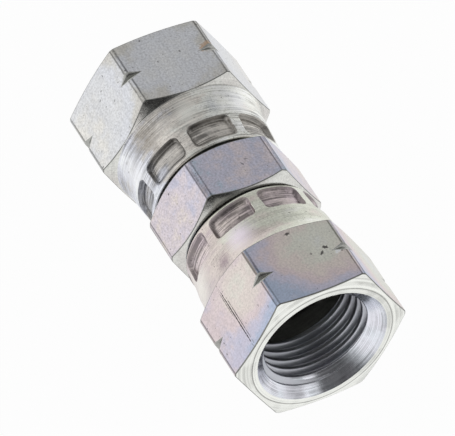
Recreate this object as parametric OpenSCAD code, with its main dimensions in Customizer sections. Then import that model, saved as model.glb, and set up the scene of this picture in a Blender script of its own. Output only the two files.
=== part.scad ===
// Straight swivel union for hydraulic lines with two 37 degree female ends.
// One turned body carries a swivel nut on each end. The axis of the bore lies along X,
// the origin is on the axis at the middle of the body, and the nuts rest on a flat.

/* [Body] */
// Width across the flats of the body's middle hexagon
body_af = 17; // [16.5:0.25:18.5]
// Length of the middle hexagon along the axis
body_hex_l = 7.6; // [6:0.2:14]
// Amount turned off the sharp corners of the middle hexagon, measured on the radius
body_corner_break = 0.2; // [0.1:0.05:0.4]
// Width of the ring by which the flat end face of the hexagon stays inside the flats
body_face_inset = 0.35; // [0.1:0.05:0.6]
// Angle of the hexagon's end chamfers, from the end face
body_chamfer_angle = 30; // [15:1:35]
// Diameter of the neck between the hexagon and the head
neck_d = 11.8; // [11:0.1:12.2]
// Height by which the head that each nut turns on stands above the neck
head_step = 1.05; // [0.8:0.05:1.15]
// Length of the head's full diameter, without its sloping shoulder
head_l = 3.1; // [2.5:0.1:4.8]
// Small chamfer on the front edge of the head
head_edge = 0.2; // [0.1:0.05:0.3]
// Bore through the whole body
bore_d = 7.5; // [6:0.25:8.5]
// Width of the flat ring that is left around the seat cone on the head's front face
seat_land = 0.45; // [0.3:0.05:0.8]
// Half angle of the seat cone
seat_angle = 37; // [35:1:45]

/* [Swivel nuts] */
// Width across the flats of each nut
nut_af = 19; // [18.75:0.25:22]
// Length of the nut's hexagon along the axis
nut_hex_l = 10.3; // [9.6:0.1:14]
// Amount turned off the nut's sharp corners, measured on the radius
nut_corner_break = 0.13; // [0.1:0.01:0.4]
// Width of the ring by which the mouth face stays inside the flats, measured on the radius
mouth_face_inset = 0.57; // [0.2:0.01:0.7]
// Angle of the chamfer around the mouth face
mouth_chamfer_angle = 13; // [8:1:30]
// Angle of the chamfer on the collar's side of the hexagon
back_chamfer_angle = 28; // [15:1:35]
// Depth of the marking groove below the rounded corners
notch_depth = 0.65; // [0.3:0.05:0.8]
// Full angle of the marking groove
notch_angle = 50; // [40:2:100]

/* [Nut collar] */
// Gap between the end of the body's hexagon and the nut's collar
swivel_gap = 0.4; // [0.3:0.05:0.8]
// Length of the collar from its end to the hexagon
collar_l = 7.95; // [7.2:0.05:10]
// Wall of the collar around the cavity for the head, where the blend into the hexagon begins
collar_wall = 1.7; // [1.5:0.05:1.8]
// Amount by which the collar is smaller at its crimped end, measured on the radius
collar_taper = 0.45; // [0.2:0.05:0.7]
// Length of the concave blend
collar_blend_l = 2.5; // [1.5:0.1:3]
// Narrow step between the top of the blend and the flats of the hexagon
collar_blend_step = 0.05; // [0.02:0.01:0.1]
// Radius on the outer edge of the collar's end
collar_edge_r = 0.3; // [0.1:0.05:0.45]

/* [Crimp] */
// Number of dents that the crimping jaws leave around each collar
dent_count = 8; // [6:1:8]
// Width of a dent around the collar
dent_w = 5.3; // [4:0.1:5.6]
// Length of a dent along the axis
dent_l = 3.05; // [2:0.05:3.1]
// Width of the rim that is left at the end of the collar
dent_rim = 0.5; // [0.3:0.02:0.6]
// Depth of the dents' floors below the outer edge of the collar's end
dent_depth = 0.34; // [0.2:0.02:0.5]
// Corner radius of a dent
dent_corner_r = 0.6; // [0.3:0.05:0.9]
// Turn of the dents on the nut at the plus X end
dent_turn_a = 25.5; // [0:0.5:45]
// Turn of the dents on the nut at the minus X end
dent_turn_b = 0; // [0:0.5:45]

/* [Nut bore] */
// Minor diameter of the internal thread, which the plain bore stands for
thread_minor_d = 12.9; // [12.7:0.05:13.1]
// Length of the threaded bore behind the countersink
thread_l = 5.8; // [5.2:0.1:6.1]
// Depth of the countersink from the mouth face
countersink_l = 1.8; // [1:0.1:1.9]
// Half angle of the countersink
countersink_angle = 45; // [40:1:50]
// Radial running clearance between the head and the cavity of the nut
head_clearance = 0.3; // [0.2:0.05:0.35]
// Radial clearance between the neck and the lip that the crimp folds in
lip_clearance = 0.4; // [0.3:0.05:0.6]
// Axial play between the head's shoulder and the crimped lip
shoulder_play = 0.35; // [0.3:0.05:0.6]
// Length of the lip's straight bore
lip_l = 3.15; // [2.5:0.05:3.2]
// Angle of the folded shoulder, from the axis
shoulder_angle = 45; // [40:1:55]

/* [Hidden] */

// Smoothness of circles and of turned shapes
$fn = 96;
// Overlap by which a cutting shape passes through a face
cut = 1;

// Radius of the sharp corners of a hexagon that measures af across its flats
function corner_r(af) = af / 2 / cos(30);
// Axial length that a chamfer takes when it runs over a radial height
function chamfer_l(height, angle) = height * tan(angle);

body_corner_r = corner_r(body_af) - body_corner_break;
body_face_r = body_af / 2 - body_face_inset;
body_hex_x = body_hex_l / 2;

nut_corner_r = corner_r(nut_af) - nut_corner_break;
mouth_face_r = nut_af / 2 - mouth_face_inset;
collar_end_x = body_hex_x + swivel_gap;
nut_back_x = collar_end_x + collar_l;
mouth_x = nut_back_x + nut_hex_l;

// The inside of the nut follows the neck and the head of the body
neck_r = neck_d / 2;
head_r = neck_r + head_step;
lip_r = neck_r + lip_clearance;
cavity_r = head_r + head_clearance;
lip_end_x = collar_end_x + lip_l;
cavity_x = lip_end_x + (cavity_r - lip_r) / tan(shoulder_angle);
thread_r = thread_minor_d / 2;
countersink_r = thread_r + countersink_l * tan(countersink_angle);
thread_end_x = mouth_x - countersink_l - thread_l;
thread_lead_x = thread_end_x - (cavity_r - thread_r) / tan(countersink_angle);

// The collar surrounds the cavity, and its blend rises to just inside the flats of the hexagon
collar_root_r = cavity_r + collar_wall;
collar_end_r = collar_root_r - collar_taper;
collar_top_r = nut_af / 2 - collar_blend_step;
collar_blend_h = collar_top_r - collar_root_r;
collar_blend_r = (pow(collar_blend_l, 2) + pow(collar_blend_h, 2)) / 2 / collar_blend_h;
collar_blend_x = nut_back_x - collar_blend_l;
dent_floor_r = collar_end_r - dent_depth;

// The head hangs behind the lip with the shoulder play between the two slopes
head_x = cavity_x + shoulder_play - (cavity_r - head_r) / tan(shoulder_angle);
neck_end_x = head_x - head_step / tan(shoulder_angle);
head_front_x = head_x + head_l;
seat_r = head_r - head_edge - seat_land;
seat_depth = (seat_r - bore_d / 2) / tan(seat_angle);

// Turns a profile of [distance along the axis, radius] points about the X axis
module turned() {
    rotate([0, 90, 0]) rotate_extrude() mirror([1, -1]) children();
}

// Hexagonal bar along X with a flat on top, from x1 to x2
module hex_bar(af, x1, x2) {
    translate([x1, 0, 0]) rotate([90, 0, 90]) linear_extrude(height = x2 - x1) circle(r = corner_r(af), $fn = 6);
}

// One end of the body: neck, sloping shoulder and head
module stem() {
    turned() polygon([
        [0, 0], [0, neck_r], [neck_end_x, neck_r], [head_x, head_r],
        [head_front_x - head_edge, head_r], [head_front_x, head_r - head_edge], [head_front_x, 0]
    ]);
}

// Cone that the flared end of the mating tube or fitting seals on
module seat_cut() {
    turned() polygon([
        [head_front_x - seat_depth - cut, 0],
        [head_front_x - seat_depth - cut, bore_d / 2 - cut * tan(seat_angle)],
        [head_front_x + cut, seat_r + cut * tan(seat_angle)],
        [head_front_x + cut, 0]
    ]);
}

// Middle hexagon with its corners turned round and both ends chamfered
module body_hexagon() {
    chamfer = chamfer_l(body_corner_r - body_face_r, body_chamfer_angle);
    intersection() {
        hex_bar(body_af, -body_hex_x, body_hex_x);
        turned() polygon([
            [-body_hex_x, 0], [-body_hex_x, body_face_r],
            [chamfer - body_hex_x, body_corner_r], [body_hex_x - chamfer, body_corner_r],
            [body_hex_x, body_face_r], [body_hex_x, 0]
        ]);
    }
}

module hex_body() {
    color("#b4b2bd") difference() {
        union() {
            body_hexagon();
            stem();
            mirror([1, 0, 0]) stem();
        }
        seat_cut();
        mirror([1, 0, 0]) seat_cut();
        translate([-head_front_x - cut, 0, 0]) rotate([0, 90, 0])
            cylinder(d = bore_d, h = 2 * (head_front_x + cut));
    }
}

// Hexagon of a nut, with rounded corners, a chamfer at each end and the marking groove
module nut_hexagon() {
    mouth_chamfer = chamfer_l(nut_corner_r - mouth_face_r, mouth_chamfer_angle);
    back_chamfer = chamfer_l(nut_corner_r - collar_top_r, back_chamfer_angle);
    notch_x = (nut_back_x + mouth_x) / 2;
    notch_half_w = notch_depth * tan(notch_angle / 2);
    intersection() {
        hex_bar(nut_af, nut_back_x, mouth_x);
        turned() polygon([
            [nut_back_x, 0], [nut_back_x, collar_top_r], [nut_back_x + back_chamfer, nut_corner_r],
            [notch_x - notch_half_w, nut_corner_r], [notch_x, nut_corner_r - notch_depth],
            [notch_x + notch_half_w, nut_corner_r],
            [mouth_x - mouth_chamfer, nut_corner_r], [mouth_x, mouth_face_r], [mouth_x, 0]
        ]);
    }
}

// Tapered collar with a rounded end and a concave blend into the hexagon
module collar() {
    turned() union() {
        polygon([
            [collar_end_x, 0], [collar_end_x, collar_end_r - collar_edge_r],
            [collar_end_x + collar_edge_r, collar_end_r], [collar_blend_x, collar_root_r],
            [nut_back_x, collar_root_r], [nut_back_x, 0]
        ]);
        translate([collar_end_x + collar_edge_r, collar_end_r - collar_edge_r]) circle(r = collar_edge_r);
        difference() {
            translate([collar_blend_x, 0]) square([collar_blend_l + cut, collar_top_r]);
            translate([collar_blend_x, collar_root_r + collar_blend_r]) circle(r = collar_blend_r);
        }
    }
}

// Rounded rectangle, lying along X, that stands for the face of a crimping jaw
module jaw_face() {
    for (side = [-1, 1]) {
        for (end = [dent_corner_r, dent_l - dent_corner_r]) {
            translate([end, side * (dent_w / 2 - dent_corner_r)]) circle(r = dent_corner_r);
        }
    }
    translate([dent_corner_r, -dent_w / 2]) square([dent_l - 2 * dent_corner_r, dent_w]);
    translate([0, dent_corner_r - dent_w / 2]) square([dent_l, dent_w - 2 * dent_corner_r]);
}

// Metal that the jaws press in: all that their faces cover outside the round of the floors
module dents(turn) {
    reach = max(collar_end_r, collar_root_r) + cut;
    intersection() {
        turned() translate([collar_end_x, dent_floor_r]) square([collar_l, reach - dent_floor_r]);
        for (i = [0 : dent_count - 1]) {
            rotate([turn + i * 360 / dent_count, 0, 0])
                translate([collar_end_x + dent_rim, 0, 0]) linear_extrude(height = reach + cut) jaw_face();
        }
    }
}

// Inside of a nut: folded lip, cavity for the head, threaded bore and countersink
module nut_bore() {
    turned() polygon([
        [collar_end_x - cut, 0], [collar_end_x - cut, lip_r], [lip_end_x, lip_r],
        [cavity_x, cavity_r], [thread_lead_x, cavity_r], [thread_end_x, thread_r],
        [mouth_x - countersink_l, thread_r],
        [mouth_x + cut, countersink_r + cut * tan(countersink_angle)], [mouth_x + cut, 0]
    ]);
}

module swivel_nut(dent_turn) {
    difference() {
        union() {
            nut_hexagon();
            collar();
        }
        dents(dent_turn);
        nut_bore();
    }
}

module swivel_nut_a() {
    color("#c3c1c4") swivel_nut(dent_turn_a);
}

module swivel_nut_b() {
    color("#c3c1c4") mirror([1, 0, 0]) swivel_nut(dent_turn_b);
}

hex_body();
swivel_nut_a();
swivel_nut_b();
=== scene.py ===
"""Looks of a straight swivel union: a hexagonal body with a crimped swivel nut on each end.

Sizes are in millimetres and are turned into metres where a mesh is made. Angles run from +Y towards
+Z. Each nut is built at the +X end, and the far one is then turned about Z, which keeps its thread
right-handed.
"""

import logging
import math
from dataclasses import dataclass
from enum import Enum

import bmesh
import bpy
import numpy as np
from bmesh.types import BMVert
from bpy.types import ID, Material, Mesh, Node, NodeSocket, NodeTree, Object, World
from mathutils import Matrix, Vector


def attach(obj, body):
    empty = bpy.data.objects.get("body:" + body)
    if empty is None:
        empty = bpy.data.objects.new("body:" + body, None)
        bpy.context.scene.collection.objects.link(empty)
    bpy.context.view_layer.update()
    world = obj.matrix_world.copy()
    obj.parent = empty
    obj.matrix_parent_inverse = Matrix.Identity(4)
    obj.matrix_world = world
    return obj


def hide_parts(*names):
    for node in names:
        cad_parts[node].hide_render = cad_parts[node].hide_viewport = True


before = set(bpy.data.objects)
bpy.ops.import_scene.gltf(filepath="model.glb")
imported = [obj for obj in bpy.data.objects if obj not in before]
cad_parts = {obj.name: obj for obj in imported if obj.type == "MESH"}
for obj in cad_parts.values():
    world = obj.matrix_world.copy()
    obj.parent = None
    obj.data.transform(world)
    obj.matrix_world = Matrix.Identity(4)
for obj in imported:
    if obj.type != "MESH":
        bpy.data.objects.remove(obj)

LOG = logging.getLogger("swivel_union")
MM = 0.001
MERGE_REACH = 0.0005 * MM


def srgb(code: str) -> tuple[float, float, float, float]:
    """Turns an sRGB hex colour into the linear colour that a shader takes.

    Args:
        code: The colour as "#rrggbb".

    Returns:
        Linear red, green and blue, with an alpha of 1.
    """
    parts = [int(code[i : i + 2], 16) / 255 for i in (1, 3, 5)]
    linear = [p / 12.92 if p <= 0.04045 else ((p + 0.055) / 1.055) ** 2.4 for p in parts]
    return (linear[0], linear[1], linear[2], 1.0)


def add_node(tree: NodeTree, kind: str, links: dict | None = None, **settings: object) -> Node:
    """Adds one node with its settings, and fills or links its inputs.

    Args:
        tree: The node tree that takes the node.
        kind: The node's type name.
        links: Input name or number to a plain value, or to the socket or Value that feeds it.
        **settings: Properties of the node itself, such as operation.

    Returns:
        The new node.
    """
    node = tree.nodes.new(kind)
    for name, value in settings.items():
        setattr(node, name, value)
    for key, value in (links or {}).items():
        source = value.socket if isinstance(value, Value) else value
        if isinstance(source, NodeSocket):
            tree.links.new(source, node.inputs[key])
        else:
            node.inputs[key].default_value = source
    return node


def empty_tree(owner: Material | World) -> NodeTree:
    """Switches on a node tree and empties it.

    Args:
        owner: The material or the world that the tree belongs to.

    Returns:
        The empty tree.
    """
    owner.use_nodes = True
    owner.node_tree.nodes.clear()
    return owner.node_tree


class Value:
    """Number that a node gives out. Arithmetic with it adds nodes to its tree."""

    def __init__(self, socket: NodeSocket) -> None:
        """Keeps the socket and its tree."""
        self.socket = socket
        self.tree = socket.id_data

    def calc(self, operation: str, *others: object) -> "Value":
        """Does one operation of the Math node with this number and the others."""
        links = dict(enumerate((self, *others)))
        return Value(add_node(self.tree, "ShaderNodeMath", links, operation=operation).outputs[0])

    def ramp(self, ends: tuple, results: tuple, smooth: bool = False) -> "Value":
        """Maps a range of this number to another range, and stays at its ends beyond them.

        Args:
            ends: Where the range starts and ends.
            results: What those two ends become.
            smooth: Whether it eases in and out.

        Returns:
            The mapped number.
        """
        links = dict(enumerate((self, *ends, *results)))
        kind = "SMOOTHSTEP" if smooth else "LINEAR"
        return Value(add_node(self.tree, "ShaderNodeMapRange", links, interpolation_type=kind).outputs[0])

    def __add__(self, other: object) -> "Value":
        """Adds the other number."""
        return self.calc("ADD", other)

    def __sub__(self, other: object) -> "Value":
        """Subtracts the other number."""
        return self.calc("SUBTRACT", other)

    def __rsub__(self, other: object) -> "Value":
        """Subtracts this number from a plain one."""
        return self.calc("MULTIPLY", -1.0).calc("ADD", other)

    def __mul__(self, other: object) -> "Value":
        """Multiplies by the other number."""
        return self.calc("MULTIPLY", other)

    def __truediv__(self, other: object) -> "Value":
        """Divides by the other number."""
        return self.calc("DIVIDE", other)

    def __abs__(self) -> "Value":
        """Drops the sign."""
        return self.calc("ABSOLUTE")


class Place:
    """Place on the part in a node tree, whole and as its three numbers."""

    def __init__(self, vector: NodeSocket) -> None:
        """Splits the place.

        Args:
            vector: The socket that gives it out.
        """
        self.vector = vector
        self.tree = vector.id_data
        parts = add_node(self.tree, "ShaderNodeSeparateXYZ", {0: vector}).outputs
        self.x, self.y, self.z = (Value(part) for part in parts)

    def radius(self) -> Value:
        """Distance from the union's axis."""
        return (self.y * self.y + self.z * self.z).calc("SQRT")

    def angle(self) -> Value:
        """Angle round the union's axis in radians."""
        return self.z.calc("ARCTAN2", self.y)

    def rings(self) -> "Place":
        """Place as (way along the turned outline, y, z), so that a pattern can follow the rings."""
        links = {0: abs(self.x) + self.radius(), 1: self.y, 2: self.z}
        return Place(add_node(self.tree, "ShaderNodeCombineXYZ", links).outputs[0])

    def pattern(self, size: float, detail: float, shrink: tuple = (1.0, 1.0, 1.0)) -> Value:
        """Soft random pattern, drawn out along the axes that shrink.

        Args:
            size: Size of its blotches in millimetres.
            detail: How much finer detail they hold.
            shrink: Scale of the place along each axis.

        Returns:
            The pattern, from 0 to 1.
        """
        links = {"Vector": self.vector, "Scale": shrink}
        drawn = add_node(self.tree, "ShaderNodeMapping", links).outputs[0]
        links = {"Vector": drawn, "Scale": 1 / size, "Detail": detail, "Roughness": 0.6}
        return Value(add_node(self.tree, "ShaderNodeTexNoise", links).outputs[0])


class Zone(Enum):
    """Finishes of a piece's faces; the number is the piece's material slot."""

    FLATS = 0
    TURNED = 1
    FACED = 2
    CHAMFER = 3
    BORE = 4
    EDGE = 5
    GROOVE = 6


class End(Enum):
    """Ends of the union; the far one is the near one turned round the Z axis."""

    NEAR = "nut_a"
    FAR = "nut_b"


@dataclass(frozen=True)
class Corner:
    """Corner of an outline, with the finishes of the strip before it and of its rounding.

    Its rounding starts the soft length before it and ends as far behind it.
    """

    x: float
    r: float
    soft: float = 0.0
    strip: Zone = Zone.BORE
    rounding: Zone = Zone.BORE


ROUND_STEPS = 3
# Most of a leg that one rounding may take, and the shortest leg that counts.
LEG_SHARE = 0.45
LEAST_LEG = 1e-9


def round_corners(corners: list[Corner]) -> np.ndarray:
    """Rounds the inner corners of an outline, always with the same number of points.

    Args:
        corners: The outline's corners.

    Returns:
        The outline's points as (distance from the middle of the body, radius).
    """
    pts = np.array([(corner.x, corner.r) for corner in corners])
    rows = [pts[0]]
    for i in range(1, len(pts) - 1):
        legs = [pts[i - 1] - pts[i], pts[i + 1] - pts[i]]
        lengths = [max(float(np.linalg.norm(leg)), LEAST_LEG) for leg in legs]
        reach = min(corners[i].soft, LEG_SHARE * lengths[0], LEG_SHARE * lengths[1])
        start, end = (pts[i] + leg * reach / size for leg, size in zip(legs, lengths))
        for t in np.linspace(0, 1, ROUND_STEPS + 1):
            rows.append((1 - t) ** 2 * start + 2 * t * (1 - t) * pts[i] + t**2 * end)
    rows.append(pts[-1])
    return np.array(rows)


def outline_zones(corners: list[Corner]) -> list[Zone]:
    """Finishes along a rounded outline.

    Args:
        corners: The outline's corners.

    Returns:
        For each point of the rounded outline, the finish of the strip that leads to it.
    """
    zones = [corners[0].strip]
    for corner in corners[1:-1]:
        zones += [corner.strip] + [corner.rounding] * ROUND_STEPS
    return zones + [corners[-1].strip]


def spread_angles(step: float, features: list[float], least: float = 0.1) -> np.ndarray:
    """Lists the angles of a piece's columns: even ones, and closer ones where features are.

    Args:
        step: Spacing of the even angles, in degrees.
        features: Angles that get a column of their own, in degrees.
        least: Smallest spacing that is kept, in degrees.

    Returns:
        Sorted angles in radians, over one turn.
    """
    kept: list[float] = []
    for angle in sorted(f % 360 for f in features):
        if not kept or angle - kept[-1] >= least:
            kept.append(angle)
    gaps = zip(kept, kept[1:] + [kept[0] + 360])
    filled = [np.linspace(a, b, max(1, round((b - a) / step)), endpoint=False) for a, b in gaps]
    return np.radians(np.concatenate(filled))


@dataclass(frozen=True)
class HexBar:
    """Hexagon with a flat on top, whose sharp corners are turned to a round."""

    across_flats: float
    corner_break: float
    edge_soft: float = 0.03

    @property
    def corner_r(self) -> float:
        """Radius of the round that the corners are turned to."""
        return self.across_flats / 2 / math.cos(math.pi / 6) - self.corner_break

    @property
    def half_band(self) -> float:
        """Half the angle in degrees that the round takes at each corner."""
        return 30 - math.degrees(math.acos(self.across_flats / 2 / self.corner_r))

    def radius(self, angle: float) -> float:
        """Radius of the bar at an angle.

        Args:
            angle: The angle in radians.

        Returns:
            The radius, with the edges of the corner rounds softened.
        """
        off = (math.degrees(angle) % 60) - 30
        flat = self.across_flats / 2 / math.cos(math.radians(off))
        blend = max(0.0, 1 - abs(flat - self.corner_r) / self.edge_soft)
        return min(flat, self.corner_r) - self.edge_soft * blend * blend / 4

    def features(self) -> list[float]:
        """Angles in degrees at which the bar needs columns of its own."""
        near = (-0.6, -0.2, 0.2, 0.6)
        beside = [0.0] + [side * (self.half_band + off) for side in (-1, 1) for off in near]
        return [60 * k + off for k in range(6) for off in beside]


NUT_BAR = HexBar(across_flats=19.0, corner_break=0.132)
BODY_BAR = HexBar(across_flats=17.0, corner_break=0.2)


class Shell:
    """Mesh of rings of points round the X axis, joined in the order in which they are added."""

    def __init__(self) -> None:
        """Starts an empty mesh."""
        self.mesh = bmesh.new()
        self.first_angles: np.ndarray | None = None
        self.angles: np.ndarray | None = None
        self.first: list[BMVert] = []
        self.last: list[BMVert] = []

    def ring(self, row: np.ndarray, angles: np.ndarray) -> list[BMVert]:
        """Adds one ring's points.

        Args:
            row: (distance, radius) for each column.
            angles: The columns' angles in radians.

        Returns:
            The new points.
        """
        x, r = row[:, 0] * MM, row[:, 1] * MM
        places = np.stack([x, r * np.cos(angles), r * np.sin(angles)], axis=1)
        return [self.mesh.verts.new(place) for place in places]

    def add(self, rows: np.ndarray, angles: np.ndarray, zones: list[Zone]) -> None:
        """Adds rings, each joined to the one before it.

        Args:
            rows: Rings by (distance, radius), or by columns and (distance, radius).
            angles: The columns' angles in radians.
            zones: For each ring, the finish of the strip that leads to it.
        """
        if rows.ndim == 2:
            rows = np.repeat(rows[:, None, :], len(angles), axis=1)
        for row, zone in zip(rows, zones):
            ring = self.ring(row, angles)
            if self.last:
                self.join(self.last, self.angles, ring, angles, zone)
            else:
                self.first, self.first_angles = ring, angles
            self.last, self.angles = ring, angles

    def close(self, zone: Zone) -> None:
        """Joins the last ring to the first one."""
        self.join(self.last, self.angles, self.first, self.first_angles, zone)

    def join(self, a: list, a_angles: np.ndarray, b: list, b_angles: np.ndarray, zone: Zone) -> None:
        """Fills the strip between two rings, also where they have different columns.

        Args:
            a: Points of the first ring.
            a_angles: Their angles.
            b: Points of the second ring.
            b_angles: Their angles.
            zone: The finish of the strip.
        """
        if a_angles is b_angles:
            for i in range(len(a)):
                self.face([a[i - 1], a[i], b[i], b[i - 1]], zone)
            return
        i = j = 0
        while i < len(a) or j < len(b):
            next_a = a_angles[(i + 1) % len(a)] + math.tau * ((i + 1) // len(a))
            next_b = b_angles[(j + 1) % len(b)] + math.tau * ((j + 1) // len(b))
            if j >= len(b) or (i < len(a) and next_a <= next_b):
                self.face([a[i % len(a)], a[(i + 1) % len(a)], b[j % len(b)]], zone)
                i += 1
            else:
                self.face([a[i % len(a)], b[(j + 1) % len(b)], b[j % len(b)]], zone)
                j += 1

    def face(self, corners: list, zone: Zone) -> None:
        """Adds one smooth face.

        Args:
            corners: Its points.
            zone: Its finish.
        """
        face = self.mesh.faces.new(corners)
        face.material_index = zone.value
        face.smooth = True

    def finish(self, name: str) -> Mesh:
        """Merges points that coincide and turns the faces outwards.

        Args:
            name: The mesh's name.

        Returns:
            The mesh.
        """
        bmesh.ops.remove_doubles(self.mesh, verts=self.mesh.verts, dist=MERGE_REACH)
        bmesh.ops.recalc_face_normals(self.mesh, faces=self.mesh.faces)
        mesh = bpy.data.meshes.new(name)
        self.mesh.to_mesh(mesh)
        self.mesh.free()
        return mesh


class Recipe:
    """Geometry Nodes tree with named inputs, which a modifier fills by their identifiers.

    It notes a number on each face that it makes, under its own name, and picks the finishes by it.
    """

    def __init__(self, name: str, sizes: dict[str, float | int]) -> None:
        """Starts the tree.

        Args:
            name: The tree's name.
            sizes: The named inputs and their values, whole numbers as int.
        """
        self.tree = bpy.data.node_groups.new(name, "GeometryNodeTree")
        self.sizes = sizes
        sockets = self.tree.interface
        sockets.new_socket("Geometry", in_out="INPUT", socket_type="NodeSocketGeometry")
        for label, value in sizes.items():
            kind = "NodeSocketInt" if isinstance(value, int) else "NodeSocketFloat"
            sockets.new_socket(label, in_out="INPUT", socket_type=kind)
        sockets.new_socket("Geometry", in_out="OUTPUT", socket_type="NodeSocketGeometry")
        inputs = add_node(self.tree, "NodeGroupInput").outputs
        self.size = {label: Value(inputs[label]) for label in ("Geometry", *sizes)}
        self.place = Place(add_node(self.tree, "GeometryNodeInputPosition").outputs[0])

    def move(self, geometry: object, number: Value, target: tuple) -> NodeSocket:
        """Notes a number on each face of a geometry and moves its points.

        The number is noted first, because its rule reads the places from before the move.

        Args:
            geometry: The geometry.
            number: What is noted.
            target: The points' new x, y and z.

        Returns:
            The moved geometry.
        """
        kind = "GeometryNodeStoreNamedAttribute"
        links = {"Geometry": geometry, "Name": self.tree.name, "Value": number}
        noted = add_node(self.tree, kind, links, data_type="FLOAT", domain="FACE").outputs[0]
        place = add_node(self.tree, "ShaderNodeCombineXYZ", dict(enumerate(target))).outputs[0]
        links = {"Geometry": noted, "Position": place}
        return add_node(self.tree, "GeometryNodeSetPosition", links).outputs[0]

    def end(self, geometry: object, common: Material, special: Material) -> None:
        """Ends the tree in Realize Instances and Set Material.

        Args:
            geometry: What the tree has made.
            common: The material of the faces whose number is 1 or more.
            special: The material of the faces whose number is 2.
        """
        last = add_node(self.tree, "GeometryNodeRealizeInstances", {"Geometry": geometry})
        kind = "GeometryNodeInputNamedAttribute"
        number = Value(add_node(self.tree, kind, {"Name": self.tree.name}, data_type="FLOAT").outputs[0])
        for least, material in ((0.5, common), (1.5, special)):
            chosen = number.calc("GREATER_THAN", least)
            links = {"Geometry": last.outputs[0], "Selection": chosen, "Material": material}
            last = add_node(self.tree, "GeometryNodeSetMaterial", links)
        add_node(self.tree, "NodeGroupOutput", {0: last.outputs[0]})

    def put_on(self, obj: Object) -> None:
        """Adds the tree to an object as a modifier and fills its inputs.

        Args:
            obj: The object.
        """
        modifier = obj.modifiers.new(self.tree.name, "NODES")
        modifier.node_group = self.tree
        for item in self.tree.interface.items_tree:
            if item.in_out == "INPUT" and item.name in self.sizes:
                modifier[item.identifier] = self.sizes[item.name]


@dataclass(frozen=True)
class Thread:
    """Internal 9/16-18 thread with its countersink and the lead behind it.

    It is turned so that a crest passes through the crest's place and angle.
    """

    mouth_x: float
    pitch: float = 1.411
    minor_r: float = 6.45
    major_r: float = 7.144
    root_flat: float = 0.176
    flank_angle: float = 30.0
    countersink_l: float = 1.8
    thread_l: float = 5.8
    cavity_r: float = 7.25
    crest_x: float = 20.71
    crest_angle: float = 291.6
    columns: int = 192
    rows_per_pitch: int = 20

    # How far the countersink has to stand clear of the thread's form, to count as its face.
    CLEAR = 0.02

    @property
    def countersink_r(self) -> float:
        """Radius of the 45 degree countersink at the mouth face."""
        return self.minor_r + self.countersink_l

    @property
    def end_x(self) -> float:
        """Place where the thread's full form ends."""
        return self.mouth_x - self.countersink_l - self.thread_l

    @property
    def lead_x(self) -> float:
        """Place where the 45 degree lead behind the thread reaches the cavity."""
        return self.end_x - (self.cavity_r - self.minor_r)

    def angles(self) -> np.ndarray:
        """Angles of the liner's columns in radians."""
        return np.arange(self.columns) * math.tau / self.columns

    def sizes(self) -> dict[str, float | int]:
        """Named sizes of the thread for its tree, in metres and in shares of the pitch."""
        turns = math.ceil((self.mouth_x - self.lead_x) / self.pitch) + 1
        flank = (self.major_r - self.minor_r) * math.tan(math.radians(self.flank_angle))
        return {
            "Columns": self.columns,
            "Rows": turns * self.rows_per_pitch + 1,
            "Turns": float(turns),
            "Pitch": self.pitch * MM,
            "Crest Phase": ((self.mouth_x - self.crest_x) / self.pitch + self.crest_angle / 360) % 1,
            "Minor Radius": self.minor_r * MM,
            "Major Radius": self.major_r * MM,
            "Half Root": self.root_flat / 2 / self.pitch,
            "Flank": flank / self.pitch,
            "Mouth X": self.mouth_x * MM,
            "Countersink X": (self.mouth_x - self.countersink_l) * MM,
            "Countersink Radius": self.countersink_r * MM,
            "Thread End X": self.end_x * MM,
            "Lead X": self.lead_x * MM,
            "Cavity Radius": self.cavity_r * MM,
        }

    def recipe(self, thread: Material, countersink: Material) -> Recipe:
        """Tree that lines the mouth with helical rows, each cut off at the countersink and the lead.

        Args:
            thread: The material of the thread.
            countersink: The material of the countersink.

        Returns:
            The tree, with the thread's sizes as its named inputs.
        """
        made = Recipe("thread_liner", self.sizes())
        tree, size, flat = made.tree, made.size, made.place
        links = {0: 1.0, 1: 1.0, 2: size["Columns"] + 1, 3: size["Rows"]}
        grid = add_node(tree, "GeometryNodeMeshGrid", links).outputs[0]
        share = flat.x + 0.5
        row = (flat.y + 0.5) * size["Turns"]
        free_x = (share - row) * size["Pitch"] + size["Mouth X"]
        x = free_x.calc("MAXIMUM", size["Lead X"]).calc("MINIMUM", size["Mouth X"])
        off_root = 0.5 - (row - size["Crest Phase"]).calc("PINGPONG", 0.5)
        minor, major = size["Minor Radius"], size["Major Radius"]
        form = off_root.ramp((size["Half Root"], size["Half Root"] + size["Flank"]), (major, minor))
        mouth = x.ramp((size["Countersink X"], size["Mouth X"]), (minor, size["Countersink Radius"]))
        lead = x.ramp((size["Lead X"], size["Thread End X"]), (size["Cavity Radius"], minor))
        radius = form.calc("MAXIMUM", mouth.calc("MAXIMUM", lead))
        turned = share * math.tau
        target = (x, radius * turned.calc("COSINE"), radius * turned.calc("SINE"))
        clear = form + self.CLEAR * MM
        helix = made.move(grid, mouth.calc("GREATER_THAN", clear) + 1.0, target)
        joined = add_node(tree, "GeometryNodeJoinGeometry", {0: size["Geometry"]})
        tree.links.new(helix, joined.inputs[0])
        links = {"Geometry": joined.outputs[0], "Distance": 2 * MERGE_REACH}
        made.end(add_node(tree, "GeometryNodeMergeByDistance", links).outputs[0], thread, countersink)
        return made


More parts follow.
